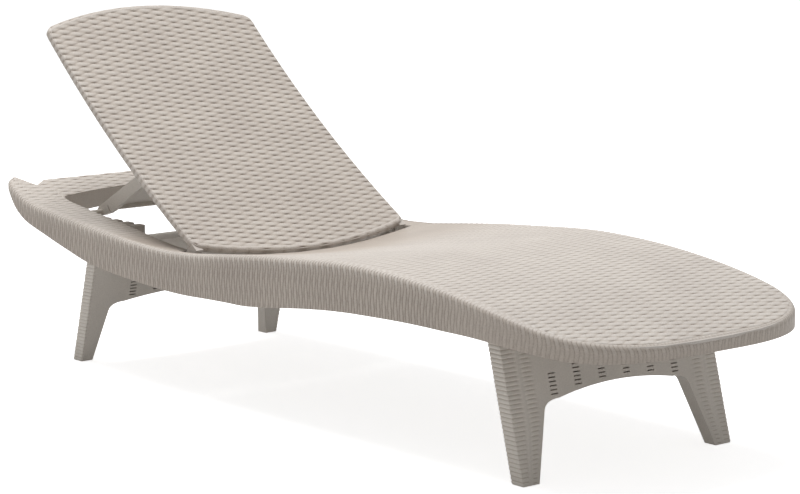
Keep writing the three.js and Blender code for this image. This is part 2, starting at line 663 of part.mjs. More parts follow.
const backrestPanel = () => {
  const slope = across(boardProfile(0, PANEL_LIP), -PANEL_BOTTOM_WIDTH, PANEL_BOTTOM_WIDTH);
  const outline = upright(boardOutline(0), -PANEL_BOTTOM_WIDTH, OVERRUN);
  const board = slope.intersect(outline).subtract(boardPockets());
  const [hingeX, hingeZ] = onBoard(0, 0);
  const pivot = [-PROP_PIVOT_BACK, PROP_PIVOT_ABOVE];
  const [propX, propZ] = onBoard(...pivot);
  const parts = [1, -1].flatMap((side) => [
    lug(0, 0, HINGE_EAR_RADIUS, 2 * HINGE_EAR_RADIUS, side * earInner, side * earOuter),
    lug(...pivot, PROP_EYE_RADIUS, PROP_LUG_LENGTH, side * lugInner, side * lugOuter),
  ]);
  const holes = [
    crossBar(HINGE_PIN_RADIUS + SEAT_GAP, -PANEL_BOTTOM_WIDTH, PANEL_BOTTOM_WIDTH, hingeX, hingeZ),
    crossBar(PROP_PIN_RADIUS + SEAT_GAP, -PANEL_BOTTOM_WIDTH, PANEL_BOTTOM_WIDTH, propX, propZ),
  ];
  return without(joined([board, ...parts]), holes);
};

// Prop, with its pivot at the origin and its arms running towards -x

const armShape = () => {
  const half = PROP_ARM_HEIGHT / 2;
  const notchX = -PROP_LENGTH + PROP_NOTCH_SETBACK;
  const shape = new THREE.Shape();
  shape.absarc(0, 0, PROP_EYE_RADIUS, -Math.PI / 2, Math.PI / 2, false);
  shape.lineTo(-PROP_EYE_RUN, half);
  shape.lineTo(-PROP_LENGTH - PROP_STUD_RADIUS, half);
  shape.lineTo(-PROP_LENGTH - PROP_TIP, half - PROP_TIP_HEIGHT);
  shape.lineTo(-PROP_LENGTH - PROP_TIP, half - 2 * PROP_TIP_HEIGHT);
  shape.lineTo(-PROP_LENGTH, -half + PROP_STUD_RADIUS);
  shape.lineTo(notchX - PROP_NOTCH_WIDTH, -half);
  shape.lineTo(notchX - PROP_NOTCH_WIDTH, -half + PROP_NOTCH_DEPTH);
  shape.lineTo(notchX, -half + PROP_NOTCH_DEPTH);
  shape.lineTo(notchX, -half);
  shape.lineTo(-PROP_EYE_RUN, -half);
  return shape;
};

const backrestProp = () => {
  const arms = [1, -1].map((side) => across(
    armShape(), Math.min(side * armInner, side * armOuter), Math.max(side * armInner, side * armOuter),
  ));
  const web = block(
    -PROP_WEB_START - PROP_WEB_LENGTH, -PROP_WEB_START, -armOuter, armOuter,
    -PROP_WEB_THICKNESS / 2, PROP_WEB_THICKNESS / 2,
  );
  const ends = [-PROP_WEB_START - PROP_WEB_THICKNESS, -PROP_WEB_START - PROP_WEB_LENGTH + PROP_WEB_THICKNESS];
  const half = PROP_WEB_THICKNESS / 2;
  const flanges = ends.map((x) => block(
    x - half, x + half, -armOuter, armOuter, -PROP_EYE_RADIUS, PROP_EYE_RADIUS,
  ));
  const studRoot = armInner + PROP_STUD_RADIUS;
  const studs = [1, -1].map((side) => crossBar(
    PROP_STUD_RADIUS, side * studRoot, side * (armOuter + PROP_STUD_LENGTH), -PROP_LENGTH, 0,
  ));
  const holes = [1, -1].flatMap((side) => [
    crossBar(PROP_PIN_RADIUS + SEAT_GAP, 0, side * PROP_WIDTH, 0, 0),
    post(
      PROP_WEB_HOLE_RADIUS, -OVERRUN, OVERRUN, -PROP_WEB_START - PROP_WEB_LENGTH / 2, side * armInner / 2,
    ),
  ]);
  return without(joined([...arms, web, ...flanges, ...studs]), holes);
};

// Racks: a bar with saw teeth along its top, screwed to the side of the opening

const rack = (side) => {
  const pitch = RACK_LENGTH / RACK_TEETH;
  const points = [[rackStart, rackBottom], [rackStart + RACK_LENGTH, rackBottom]];
  for (let tooth = RACK_TEETH; tooth > 0; tooth -= 1) {
    const x = rackStart + tooth * pitch;
    points.push([x, rackTop], [x - pitch / 2, rackTop], [x - pitch / 2, rackTop - RACK_TOOTH_DEPTH]);
    points.push([x - pitch * (1 - RACK_TOOTH_SHARE), rackTop - RACK_TOOTH_DEPTH]);
  }
  points.push([rackStart, rackTop]);
  const [near, far] = [side * rackInner, side * rackOuter].sort((a, b) => a - b);
  return without(across(polygon(points), near, far), rackHoles(side));
};

// Pins and screws, turned about their own axis: profiles start under the head and end at the tip

const headed = (radius, length, headRadius, headThickness, segments) => {
  const head = [[0, -headThickness], [headRadius, -headThickness], [headRadius, 0]];
  const profile = [...head, [radius, 0], [radius, length], [0, length]];
  return new THREE.LatheGeometry(profile.map(([r, h]) => new THREE.Vector2(r, h)), segments);
};

const ring = (bore, outer, thickness) => {
  const profile = [[bore, 0], [outer, 0], [outer, thickness], [bore, thickness], [bore, 0]];
  return new THREE.LatheGeometry(profile.map(([r, h]) => new THREE.Vector2(r, h)), ROUND_SEGMENTS);
};

// Materials

const RESIN = { color: 0xcdc5bc, roughness: 0.55, metalness: 0 };
const RESIN_SHADE = { color: 0xb9afa6, roughness: 0.6, metalness: 0 };
const NYLON = { color: 0x8c857d, roughness: 0.5, metalness: 0 };
const STEEL = { color: 0xb4b4b2, roughness: 0.35, metalness: 1 };

const mesh = (name, geometry, look) => {
  const item = new THREE.Mesh(geometry, new THREE.MeshStandardMaterial(look));
  item.name = name;
  return item;
};

const lounger = new THREE.Group();

lounger.add(mesh('frame_shell', geometryOf(frameShell()), RESIN));

rackSides.forEach(({ name, side }) => {
  lounger.add(mesh(`rack_${name}`, geometryOf(rack(side)), NYLON));
  const length = RACK_THICKNESS + SEAT_GAP + SCREW_GRIP - WALL;
  rackScrewXs.forEach((x, i) => {
    const screw = mesh(
      `rack_screw_${name}_${i + 1}`,
      headed(SCREW_RADIUS, length, SCREW_HEAD_RADIUS, SCREW_HEAD_THICKNESS, SCREW_SEGMENTS),
      STEEL,
    );
    screw.position.set(x, side * (rackInner - SEAT_GAP), rackMiddleZ);
    screw.rotation.x = side > 0 ? 0 : Math.PI;
    lounger.add(screw);
  });
});

legFrames.forEach((frame) => {
  lounger.add(mesh(`leg_frame_${frame.end}`, geometryOf(legFrame(frame)), RESIN_SHADE));
  legScrewPlaces(frame).forEach(({ x, y }, i) => {
    const length = FLANGE_THICKNESS + SEAT_GAP + SCREW_GRIP;
    const screw = mesh(
      `leg_screw_${frame.end}_${i + 1}`,
      headed(SCREW_RADIUS, length, SCREW_HEAD_RADIUS, SCREW_HEAD_THICKNESS, SCREW_SEGMENTS),
      STEEL,
    );
    screw.position.set(x, y, frame.seat - 2 * SEAT_GAP - FLANGE_THICKNESS);
    screw.rotation.x = Math.PI / 2;
    lounger.add(screw);
  });
});

// Backrest group, raised about the hinge, with the prop hung from it

const backrest = new THREE.Group();
backrest.position.set(hinge.x, 0, hinge.y);
backrest.rotation.y = RAISED_ANGLE;
lounger.add(backrest);

const panel = mesh('backrest_panel', geometryOf(backrestPanel()), RESIN);
panel.position.set(PANEL_AHEAD, 0, PANEL_ABOVE);
panel.rotation.y = PANEL_TILT;
backrest.add(panel);

const prop = new THREE.Group();
prop.position.set(-PROP_PIVOT_BACK, 0, PROP_PIVOT_ABOVE);
prop.rotation.y = -RAISED_ANGLE - PROP_DROP;
prop.add(mesh('backrest_prop', geometryOf(backrestProp()), RESIN_SHADE));
backrest.add(prop);

rackSides.forEach(({ name, side }) => {
  const hingePin = mesh(
    `hinge_pin_${name}`,
    headed(
      HINGE_PIN_RADIUS, pocketHalf + HINGE_BOSS_LENGTH - WALL - earInner, HINGE_HEAD_RADIUS,
      HINGE_HEAD_THICKNESS, ROUND_SEGMENTS,
    ),
    NYLON,
  );
  hingePin.position.y = side * (earInner - SEAT_GAP);
  hingePin.rotation.x = side > 0 ? 0 : Math.PI;
  backrest.add(hingePin);

  const propPin = mesh(
    `prop_pin_${name}`,
    headed(
      PROP_PIN_RADIUS, armOuter - lugInner + PROP_CLIP_THICKNESS + 2 * SEAT_GAP, PROP_PIN_HEAD_RADIUS,
      PROP_PIN_HEAD_THICKNESS, ROUND_SEGMENTS,
    ),
    STEEL,
  );
  propPin.position.y = side * (armOuter + SEAT_GAP);
  propPin.rotation.x = side > 0 ? Math.PI : 0;
  prop.add(propPin);

  const clip = mesh(
    `prop_clip_${name}`,
    ring(PROP_PIN_RADIUS + SEAT_GAP, PROP_PIN_HEAD_RADIUS, PROP_CLIP_THICKNESS - SEAT_GAP),
    STEEL,
  );
  clip.position.y = side * (lugInner - SEAT_GAP);
  clip.rotation.x = side > 0 ? Math.PI : 0;
  prop.add(clip);
});

export default lounger;
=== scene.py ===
import json
from bisect import bisect_right
from functools import lru_cache, partial
from math import cos, floor, hypot, pi, radians, sin, sqrt

import bmesh
import bpy
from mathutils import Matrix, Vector
from mathutils.bvhtree import BVHTree


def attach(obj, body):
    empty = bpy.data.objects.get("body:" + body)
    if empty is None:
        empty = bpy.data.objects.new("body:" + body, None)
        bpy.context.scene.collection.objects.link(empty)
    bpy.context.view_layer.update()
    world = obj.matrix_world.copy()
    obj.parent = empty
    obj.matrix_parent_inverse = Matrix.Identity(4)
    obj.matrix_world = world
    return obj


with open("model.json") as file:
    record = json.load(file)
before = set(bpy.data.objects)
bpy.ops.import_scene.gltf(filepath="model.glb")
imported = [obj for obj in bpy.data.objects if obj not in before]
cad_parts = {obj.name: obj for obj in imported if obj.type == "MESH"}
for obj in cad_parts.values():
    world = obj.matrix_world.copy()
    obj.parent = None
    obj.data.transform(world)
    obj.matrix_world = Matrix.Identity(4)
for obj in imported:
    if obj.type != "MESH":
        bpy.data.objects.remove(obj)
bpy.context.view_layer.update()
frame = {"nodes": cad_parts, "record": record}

# Sun lounger in moulded resin: the woven look of the deck, the backrest and the legs is laid
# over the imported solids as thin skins. Metres, +Z up, +X towards the foot end, floor at z = 0.

SIDES = (("right", -1), ("left", 1))
ENDS = (("foot", 1), ("head", -1))
UP = Vector((0, 0, 1))

# Deck moulding
LENGTH = 1.955
WIDTH = 0.688
HALF_LENGTH = LENGTH / 2
HALF_WIDTH = WIDTH / 2
CREST_HEIGHT = 0.369
SKIRT_DEPTH = 0.106
DISH_DEPTH = 0.028
EDGE_RADIUS = 0.012
ROUND_LENGTH = 0.577
FOOT_TIP_HALF = 0.060
HEAD_TIP_HALF = 0.303
FOOT_POWERS = (8, 2.3)
HEAD_POWERS = (10, 2)

# Opening in the deck, crossbar and notch between the horns
OPENING_HALF = 0.242
OPENING_HINGE_HALF = 0.262
OPENING_HEAD_X = -0.8865
OPENING_BOW = 0.020
OPENING_CORNER = 0.026
OPENING_SPLAY_X = -0.596
POCKET_X = -0.3105
POCKET_HALF = 0.300
NOTCH_X = -0.9505
NOTCH_CORNER_X = -0.9305
NOTCH_CORNER_HALF = 0.265
NOTCH_INNER_HALF = 0.235
NOTCH_END_HALF = 0.295

# Backrest board, measured along its face from its foot corners
HINGE = Vector((-0.2855, 0, 0.30405))
BOARD_SHIFT = Vector((0.0036, 0, 0.0298))
BOARD_TILT = radians(6.8)
RAISED_ANGLE = radians(30)
BOARD_LENGTH = 0.717
BOARD_BOTTOM_HALF = 0.2915
BOARD_TOP_HALF = 0.2865
BOARD_BULGE = 0.052
BOARD_SAG = 0.020
BOARD_CORNER = 0.018
BOARD_SWING_GAP = 0.006
WRAP_RADIUS = 0.004
WRAP_DEPTH = 0.0115

# Leg frames: raked arches with tapered legs
LEG_INSETS = {"foot": 0.232, "head": 0.227}
LEG_WIDTHS = {"foot": 0.041, "head": 0.030}
LEG_TAPER_SHARES = {"foot": 0.34, "head": 0.22}
LEG_SEAT_DROPS = {"foot": 0.034, "head": 0.068}
LEG_FRAME_HALF = 0.279
LEG_THICKNESS = 0.030
LEG_RAKE_SHARE = 0.27
LEG_SHOULDER = 0.11
LEG_FLANGE = 0.0085

# Woven look: strands side by side at one pitch, over and under stakes at another
STRAND = 0.0084
BOARD_STRAND = 0.0085
SKIRT_STRAND = 0.0087
LEG_STRAND = 0.0083
STAKE = 0.031
RELIEF = 0.0021
BOARD_RELIEF = 0.0026
SKIRT_RELIEF = 0.0010
LEG_RELIEF = 0.0015
STRAND_HALF = 0.58      # half a strand's width, as a share of the pitch
SWELL = 0.22
UNDER_LEVEL = 0.15
LEVEL_POWER = 0.4
CROWN = 0.3
FLANK = 5
FLANK_START = 0.92
WAVER = 0.0009
SKIRT_HALF = 0.46
SKIRT_SWELL = 0.05
SKIRT_UNDER = 0.6
SMOOTH_SHADE = 0.5

# How the skins lie on the solids
LIFT = 0.0003           # clear of the solid
EDGE_CLEAR = 0.0005     # short of the edge of an opening
UNDERLAP = 0.002        # under the inner edge of the roll round the deck
TURN_DOWN = 0.004       # the rim's way into the solid
PROBE = 0.01            # a ray to the solid starts this far out, and goes twice as far
SAME_POINT = 1e-6
ROWS_PER_STRAND = 8

# Side view: place along the deck as a share of half the length, then a height as a share of
# the crest height or a depth as a share of the skirt depth
CREASE_SHARES = (
    (-1, 1.09), (-0.93, 1.024), (-0.87, 0.975), (-0.79, 0.949), (-0.59, 0.9), (-0.38, 0.867),
    (-0.25, 0.869), (-0.1, 0.911), (0.015, 0.943), (0.13, 0.967), (0.26, 0.992), (0.36, 1),
    (0.51, 0.987), (0.665, 0.946), (0.82, 0.877), (0.92, 0.816), (1, 0.762),
)
SKIRT_SHARES = (
    (-1, 0.12), (-0.97, 0.17), (-0.92, 0.35), (-0.83, 0.46), (-0.7, 0.64), (-0.6, 0.755),
    (-0.31, 0.81), (-0.2, 0.86), (-0.09, 0.94), (0, 1), (0.18, 0.935), (0.39, 0.868),
    (0.6, 0.717), (0.72, 0.58), (0.86, 0.43), (0.94, 0.34), (1, 0.25),
)
DISH_SHARES = (
    (-1, 0), (-0.88, 0), (-0.6, 0.45), (-0.35, 0.95), (-0.2, 1), (0, 0.75), (0.36, 0.1),
    (0.5, 0), (1, 0),
)


def smooth(table, place):
    """A smooth height through a table of (place, value), flat beyond its ends."""
    if place <= table[0][0]:
        return table[0][1]
    if place >= table[-1][0]:
        return table[-1][1]
    after = next(i for i, (at, _) in enumerate(table) if at >= place)

    def slope(i):
        before, ahead = table[max(i - 1, 0)], table[min(i + 1, len(table) - 1)]
        return (ahead[1] - before[1]) / (ahead[0] - before[0])

    (start, low), (end, high) = table[after - 1], table[after]
    run = end - start
    t = (place - start) / run
    ease = t * t * (3 - 2 * t)
    lead = t * (1 - t) ** 2 * run * slope(after - 1)
    trail = t * t * (t - 1) * run * slope(after)
    return low + (high - low) * ease + lead + trail


def mix(a, b, t):
    return a + (b - a) * t


def share(low, high, value):
    """0 at low, 1 at high, straight between them."""
    return min(max((value - low) / (high - low), 0), 1)


def ramp(low, high, value):
    """0 at low, 1 at high, smooth between them."""
    t = share(low, high, value)
    return t * t * (3 - 2 * t)


def rounded(place):
    """The height of a half circle at a place from -1 to 1, and 0 beyond it."""
    return sqrt(max(1 - place ** 2, 0))


def bracket(values, value):
    """The places in a rising list of the two neighbours that value lies between."""
    high = min(max(bisect_right(values, value), 1), len(values) - 1)
    return high - 1, high


# Deck surface

@lru_cache(maxsize=None)
def crease(x):
    return CREST_HEIGHT * smooth(CREASE_SHARES, x / HALF_LENGTH)


@lru_cache(maxsize=None)
def skirt_depth(x):
    return SKIRT_DEPTH * smooth(SKIRT_SHARES, x / HALF_LENGTH)


@lru_cache(maxsize=None)
def dish(x):
    return DISH_DEPTH * smooth(DISH_SHARES, x / HALF_LENGTH)


@lru_cache(maxsize=None)
def half_width(x):
    tip, (power, root) = (FOOT_TIP_HALF, FOOT_POWERS) if x > 0 else (HEAD_TIP_HALF, HEAD_POWERS)
    along = min(max((abs(x) - HALF_LENGTH + ROUND_LENGTH) / ROUND_LENGTH, 0), 1)
    return tip + (HALF_WIDTH - tip) * (1 - along ** power) ** (1 / root)


def deck_height(x, y):
    return crease(x) - dish(x) * (1 - (y / half_width(x)) ** 2)


def tree_of(name):
    """Ray casting against a node of the frame."""
    data = frame["nodes"][name].data
    return BVHTree.FromPolygons([v.co for v in data.vertices], [p.vertices for p in data.polygons])


shell_tree = tree_of("frame_shell")
board_tree = tree_of("backrest_panel")


def deck_top(x, y):
    """The deck's smooth surface, or the solid's where that is higher."""
    wanted = deck_height(x, y)
    hit = shell_tree.ray_cast(Vector((x, y, wanted + PROBE)), -UP, 2 * PROBE)[0]
    return wanted if hit is None else max(wanted, hit.z)


# Board surface, in the board's own frame: t up the face, out away from it

def turned(point, angle):
    return Vector((
        point.x * cos(angle) + point.z * sin(angle),
        point.y,
        point.z * cos(angle) - point.x * sin(angle),
    ))


def on_hinge(t, y, out):
    """A point on the board from the hinge, with the board lying flat."""
    return turned(Vector((-t, y, out)), BOARD_TILT) + BOARD_SHIFT


def from_board(t, y, out):
    """A point on the board as it stands at rest."""
    return turned(on_hinge(t, y, out), RAISED_ANGLE) + HINGE


def sag(t):
    return 4 * BOARD_SAG * (t / BOARD_LENGTH) * (1 - t / BOARD_LENGTH)


def end_radius(half):
    """The radius of the arc that an end of the board is, between its corners."""
    return (half ** 2 + BOARD_BULGE ** 2) / (2 * BOARD_BULGE)


def bulge(y, half):
    radius = end_radius(half)
    return sqrt(radius ** 2 - min(abs(y), half) ** 2) - radius + BOARD_BULGE


def end_edge(y, half, round_share):
    """How far an end stands out at this place across the board, and the direction out of it, for
    an end that is an arc with a corner turned off."""
    if not round_share:
        return bulge(y, half), Vector((1, abs(y) / end_radius(half), 0)).normalized()
    corner = BOARD_CORNER - WRAP_RADIUS
    start = bulge(half - WRAP_RADIUS - corner, half)
    left = 1 - round_share
    out = Vector((corner * left, start * left + corner * round_share, 0)).normalized()
    return start * left ** 2 - corner * round_share ** 2, out


# Woven relief

def weave(across, along, strand, stake, half=STRAND_HALF, swell=SWELL, under=UNDER_LEVEL):
    """Height from 0 to 1 of strands that pass over every other stake, staggered side by side.
    A strand swells where it passes over a stake, and leaves only a slit of the one beside it."""
    place = across / strand
    row = floor(place)
    height = 0.0
    for strand_row in (row - 1, row, row + 1):
        turn = cos(pi * (along / stake + strand_row))
        aside = abs(place - strand_row - 0.5) / (half + swell * turn)
        level = mix(under, 1, (0.5 + 0.5 * turn) ** LEVEL_POWER)
        height = max(height, level * (1 - CROWN * aside ** 2 - FLANK * max(aside - FLANK_START, 0)))
    return height


def waver(along):
    """How far the strands lean aside between stakes."""
    return WAVER * sin(2 * pi * along / STAKE)


# Meshes

def linked(name, data):
    """An object in the scene for a mesh, a lamp or a camera."""
    made = bpy.data.objects.new(name, data)
    bpy.context.scene.collection.objects.link(made)
    return made


def mesh_piece(name, bm, material):
    data = bpy.data.meshes.new(name)
    bm.to_mesh(data)
    bm.free()
    data.materials.append(material)
    return linked(name, data)


def sheet(name, rows, columns, place, outward, rim, material, body="base"):
    """A skin: a fine grid whose point at (u, v) is place(u, v) -> (point, shade), turned to face
    outward; the shade is kept in the raised attribute and is painted shade on the woven skins.
    Its rim is drawn in by the vector rim(point), so that it ends inside the solid, and is painted
    fully shaded."""
    bm = bmesh.new()
    bmesh.ops.create_grid(bm, x_segments=rows, y_segments=columns, size=1)
    # painted shade of each point, kept as the raised attribute
    layer = bm.verts.layers.float.new("raised")
    for vert in bm.verts:
        vert.co, vert[layer] = place((vert.co.x + 1) / 2, (vert.co.y + 1) / 2)
    bmesh.ops.remove_doubles(bm, verts=bm.verts, dist=SAME_POINT)
    bm.normal_update()
    if sum(face.normal.dot(outward) for face in bm.faces) < 0:
        bmesh.ops.reverse_faces(bm, faces=bm.faces)
    edges = [edge for edge in bm.edges if edge.is_boundary]
    for edge in edges:
        edge.smooth = False
    made = bmesh.ops.extrude_edge_only(bm, edges=edges)["geom"]
    for vert in (part for part in made if isinstance(part, bmesh.types.BMVert)):
        vert.co += rim(vert.co)
        # the rim is painted fully shaded
        vert[layer] = 0
    for face in bm.faces:
        face.smooth = True
    piece = mesh_piece(name, bm, material)
    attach(piece, body)


# Materials

class Signal:
    """A socket of a material, with arithmetic on its values."""

    def __init__(self, tree, socket):
        self.tree, self.socket = tree, socket

    def into(self, node, socket):
        self.tree.links.new(self.socket, node.inputs[socket])

    def node(self, kind, sockets, output=0, stops=None, **settings):
        made = self.tree.nodes.new(kind)
        for name, value in settings.items():
            setattr(made, name, value)
        if stops:
            while len(made.color_ramp.elements) < len(stops):
                made.color_ramp.elements.new(0.5)
            for element, (position, code) in zip(made.color_ramp.elements, stops):
                element.position = position
                element.color = (*linear(code), 1)
        for name, value in sockets.items():
            if isinstance(value, Signal):
                value.into(made, name)
            else:
                made.inputs[name].default_value = value
        return Signal(self.tree, made.outputs[output])

    def maths(self, operation, other):
        return self.node("ShaderNodeMath", {0: self, 1: other}, operation=operation)

    def __add__(self, other):
        return self.maths("ADD", other)

    def __mul__(self, other):
        return self.maths("MULTIPLY", other)

    __radd__ = __add__
    __rmul__ = __mul__


def linear(code):
    """A colour written as sRGB hexadecimal, in linear light."""
    parts = [int(code[i:i + 2], 16) / 255 for i in (0, 2, 4)]
    return tuple(p / 12.92 if p <= 0.04045 else ((p + 0.055) / 1.055) ** 2.4 for p in parts)


def start(name):
    material = bpy.data.materials.new(name)
    material.use_nodes = True
    tree = material.node_tree
    return material, tree, tree.nodes["Principled BSDF"]


def placed(tree):
    """The place on the object, in metres."""
    return Signal(tree, tree.nodes.new("ShaderNodeTexCoord").outputs["Object"])


def noise(place, scale, detail, roughness):
    sockets = {"Vector": place, "Scale": scale, "Detail": detail, "Roughness": roughness}
    return place.node("ShaderNodeTexNoise", sockets)


def coloured(value, *stops):
    """The colour at a value, between stops of (position, sRGB hexadecimal)."""
    return value.node("ShaderNodeValToRGB", {0: value}, stops=stops)


def bump(height, strength, distance):
    sockets = {"Height": height, "Strength": strength, "Distance": distance}
    return height.node("ShaderNodeBump", sockets)


# Sockets of a Mix node that is set to colours
FACTOR, UNDER, OVER = 0, 6, 7
MIXED = 2

RESIN_IOR = 1.46
RESIN_CLOUD = 0.35            # share of the tone that is cloudy, the rest being specks
RESIN_STOPS = (0.34, 0.62)
RESIN_ROUGHNESS_SPREAD = 0.12
RESIN_SPECK_RELIEF = 0.7
RESIN_GRAIN_DISTANCE = 0.001
# painted shade: the colour a woven skin is multiplied by, darkest in its slits (0), none on its
# crowns
PAINTED_SHADE_STOPS = ((0.0, "7d756e"), (0.3, "a89f97"), (0.55, "e6e1dc"), (0.85, "ffffff"))
PLATING_STOPS = ((0.35, "a9aaa8"), (0.7, "d2d2cf"))
PLATING_ROUGHNESS = 0.18
PLATING_STREAK_ROUGHNESS = 0.2
PLATING_SPOT_ROUGHNESS = 0.15
STREAK_STRENGTH = 0.15
STREAK_DISTANCE = 0.0005


def moulded(name, pale, dark, roughness, woven=False, grain=0.12):
    """Matt moulded resin: cloudy tone and a fine moulded grain. A woven one is also multiplied by
    painted shade, dark in the slits and grooves of its weave, from the skin's raised attribute.
    """
    material, tree, shader = start(name)
    place = placed(tree)
    cloud = noise(place, scale=7, detail=4, roughness=0.6)
    speck = noise(place, scale=380, detail=2, roughness=0.6)
    tone = cloud * RESIN_CLOUD + speck * (1 - RESIN_CLOUD)
    colour = coloured(tone, *zip(RESIN_STOPS, (dark, pale)))
    # painted shade in the slits and grooves of the weave, from the raised attribute
    if woven:
        raised = place.node("ShaderNodeAttribute", {}, output="Fac", attribute_name="raised")
        sockets = {FACTOR: 1.0, UNDER: colour, OVER: coloured(raised, *PAINTED_SHADE_STOPS)}
        colour = colour.node(
            "ShaderNodeMix", sockets, output=MIXED, data_type="RGBA", blend_type="MULTIPLY",
        )
    colour.into(shader, "Base Color")
    rough = speck * RESIN_ROUGHNESS_SPREAD + (roughness - RESIN_ROUGHNESS_SPREAD / 2)
    rough.into(shader, "Roughness")
    pits = noise(place, scale=130, detail=3, roughness=0.5)
    relief = speck * RESIN_SPECK_RELIEF + pits * (1 - RESIN_SPECK_RELIEF)
    bump(relief, grain, RESIN_GRAIN_DISTANCE).into(shader, "Normal")
    shader.inputs["IOR"].default_value = RESIN_IOR
    return material


def plated(name):
    """Zinc plated steel: faint brushed streaks and dull spots."""
    material, tree, shader = start(name)
    place = placed(tree)
    spots = noise(place, scale=160, detail=3, roughness=0.55)
    streaks = noise(place, scale=900, detail=2, roughness=0.5)
    coloured(spots, *PLATING_STOPS).into(shader, "Base Color")
    rough = streaks * PLATING_STREAK_ROUGHNESS + spots * PLATING_SPOT_ROUGHNESS
    (rough + PLATING_ROUGHNESS).into(shader, "Roughness")
    bump(streaks, STREAK_STRENGTH, STREAK_DISTANCE).into(shader, "Normal")
    shader.inputs["Metallic"].default_value = 1
    return material


# resin with painted shade in the slits and grooves of the weave, for the woven skins
woven_resin_painted_shade = moulded("woven_resin_painted_shade", "d2cbc3", "bdb5ae", 0.5, woven=True)
# the legs are the same resin as the deck, painted lighter to offset the shade they stand in under
# it; the ribbed skins also get painted shade in their grooves
leg_ribs_painted_light_and_shade = moulded("leg_ribs_painted_light_and_shade", "dbd4cb", "cfc8bf", 0.6, woven=True)
FINISHES = {
    "resin": moulded("plain_resin", "cdc6be", "c0b8b1", 0.55),
    # painted lighter than the plain resin, for the shade under the deck
    "resin_frame": moulded("leg_resin_painted_light", "dbd4cb", "cfc8bf", 0.6),
    "nylon": moulded("rack_nylon", "b5ada4", "a69e96", 0.5, grain=0.2),
    "steel": plated("zinc_plated"),
}
for subpart in frame["record"]["subparts"]:
    carried = frame["nodes"][subpart["node"]].data.materials
    carried.clear()
    carried.append(FINISHES[subpart["material_slot"]])


# Outline of the deck

OUTLINE_STEPS = 1400
END_STEPS = 12
END_CLEAR = 0.0002
INSET_STEPS = 1200


def deck_outline():
    """Points round half the deck, from the horn to the middle of the foot end."""
    points = []
    for i in range(OUTLINE_STEPS + 1):
        x = sin(pi / 2 * (2 * i / OUTLINE_STEPS - 1)) * (HALF_LENGTH - END_CLEAR)
        points.append(Vector((x, half_width(x), 0)))
    for i in range(END_STEPS + 1):
        points.append(Vector((HALF_LENGTH, FOOT_TIP_HALF * (1 - i / END_STEPS), 0)))
    lengths = [0.0]
    for before, point in zip(points, points[1:]):
        lengths.append(lengths[-1] + (point - before).length)
    return points, lengths


OUTLINE, OUTLINE_LENGTHS = deck_outline()
OUTLINE_LENGTH = OUTLINE_LENGTHS[-1]


def along_outline(distance):
    """The point at a distance round the outline, and the direction outwards there."""
    low, high = bracket(OUTLINE_LENGTHS, distance)
    run = OUTLINE_LENGTHS[high] - OUTLINE_LENGTHS[low]
    point = OUTLINE[low].lerp(OUTLINE[high], (distance - OUTLINE_LENGTHS[low]) / run)
    ahead = OUTLINE[min(high + 2, len(OUTLINE) - 1)] - OUTLINE[max(low - 2, 0)]
    return point, Vector((-ahead.y, ahead.x, 0)).normalized()


def roll_edge(distance):
    """Where a woven skin ends under the inner edge of the roll."""
    point, out = along_outline(distance)
    return point - out * (EDGE_RADIUS - UNDERLAP)


INSET = [roll_edge(OUTLINE_LENGTH * step / INSET_STEPS) for step in range(INSET_STEPS + 1)]
INSET_XS = [point.x for point in INSET]


@lru_cache(maxsize=None)
def inset_half(x):
    """Half the width at x between the inner edges of the roll round the deck."""
    low, high = bracket(INSET_XS, x)
    before, after = INSET[low], INSET[high]
    run = after.x - before.x
    return mix(before.y, after.y, (x - before.x) / run) if run > 0 else before.y


# Weave on the deck

HINGE_WEAVE = (-0.16, 0.12)     # the weave comes in over these places, to each side of the hinge
RAIL_WEAVE = (-0.40, -0.56)


def on_deck(x, y, border, press):
    """A point of a woven skin on the deck, and how far its strand is raised."""
    raised = weave(x - waver(y), y, STRAND, STAKE)
    return Vector((x, y, deck_top(x, y) + border * (LIFT + RELIEF * raised * press))), raised


def faded(x, y, border):
    """The same for the seat and rails, which are smooth about the hinge; their painted shade there
    is SMOOTH_SHADE.
    """
    press = ramp(*HINGE_WEAVE, x) + ramp(*RAIL_WEAVE, x)
    point, raised = on_deck(x, y, border, press)
    return point, mix(SMOOTH_SHADE, raised, press)


def down(point):
    return UP * -TURN_DOWN


# Woven seat, from the opening to the rounded foot end

def swing_edge(y):
    """The seat edge of the opening, which follows the swing of the backrest's foot edge."""
    out = bulge(y, BOARD_BOTTOM_HALF)
    tip = on_hinge(-out, 0, -sag(-out))
    return HINGE.x + hypot(tip.x, tip.z) + BOARD_SWING_GAP


SEAT_ROWS = 1090
SEAT_COLUMNS = 88
SEAT_START = swing_edge(0)
SEAT_END = HALF_LENGTH - EDGE_RADIUS + UNDERLAP
STRAIGHT_X = 0.02               # from here on the rows run straight across
SEAT_SIDE_BORDER = 0.985
SEAT_END_BORDER = 0.995


def seat_place(side, u, v):
    x = mix(SEAT_START, SEAT_END, u)
    y = v * inset_half(x)
    if x < STRAIGHT_X:
        edge = swing_edge(min(y * BOARD_BOTTOM_HALF / POCKET_HALF, BOARD_BOTTOM_HALF)) + EDGE_CLEAR
        x = mix(edge, STRAIGHT_X, (x - SEAT_START) / (STRAIGHT_X - SEAT_START))
    return faded(x, side * y, ramp(1, SEAT_SIDE_BORDER, v) * ramp(1, SEAT_END_BORDER, u))


for name, side in SIDES:
    sheet(f"seat_weave_{name}", SEAT_ROWS, SEAT_COLUMNS, partial(seat_place, side), UP, down,
          woven_resin_painted_shade)


# Woven rails beside the opening

RAIL_ROWS = 520
RAIL_COLUMNS = 34
RAIL_START = OPENING_HEAD_X + OPENING_BOW + OPENING_CORNER
RAIL_END = swing_edge(BOARD_BOTTOM_HALF)
RAIL_BORDER = 0.93


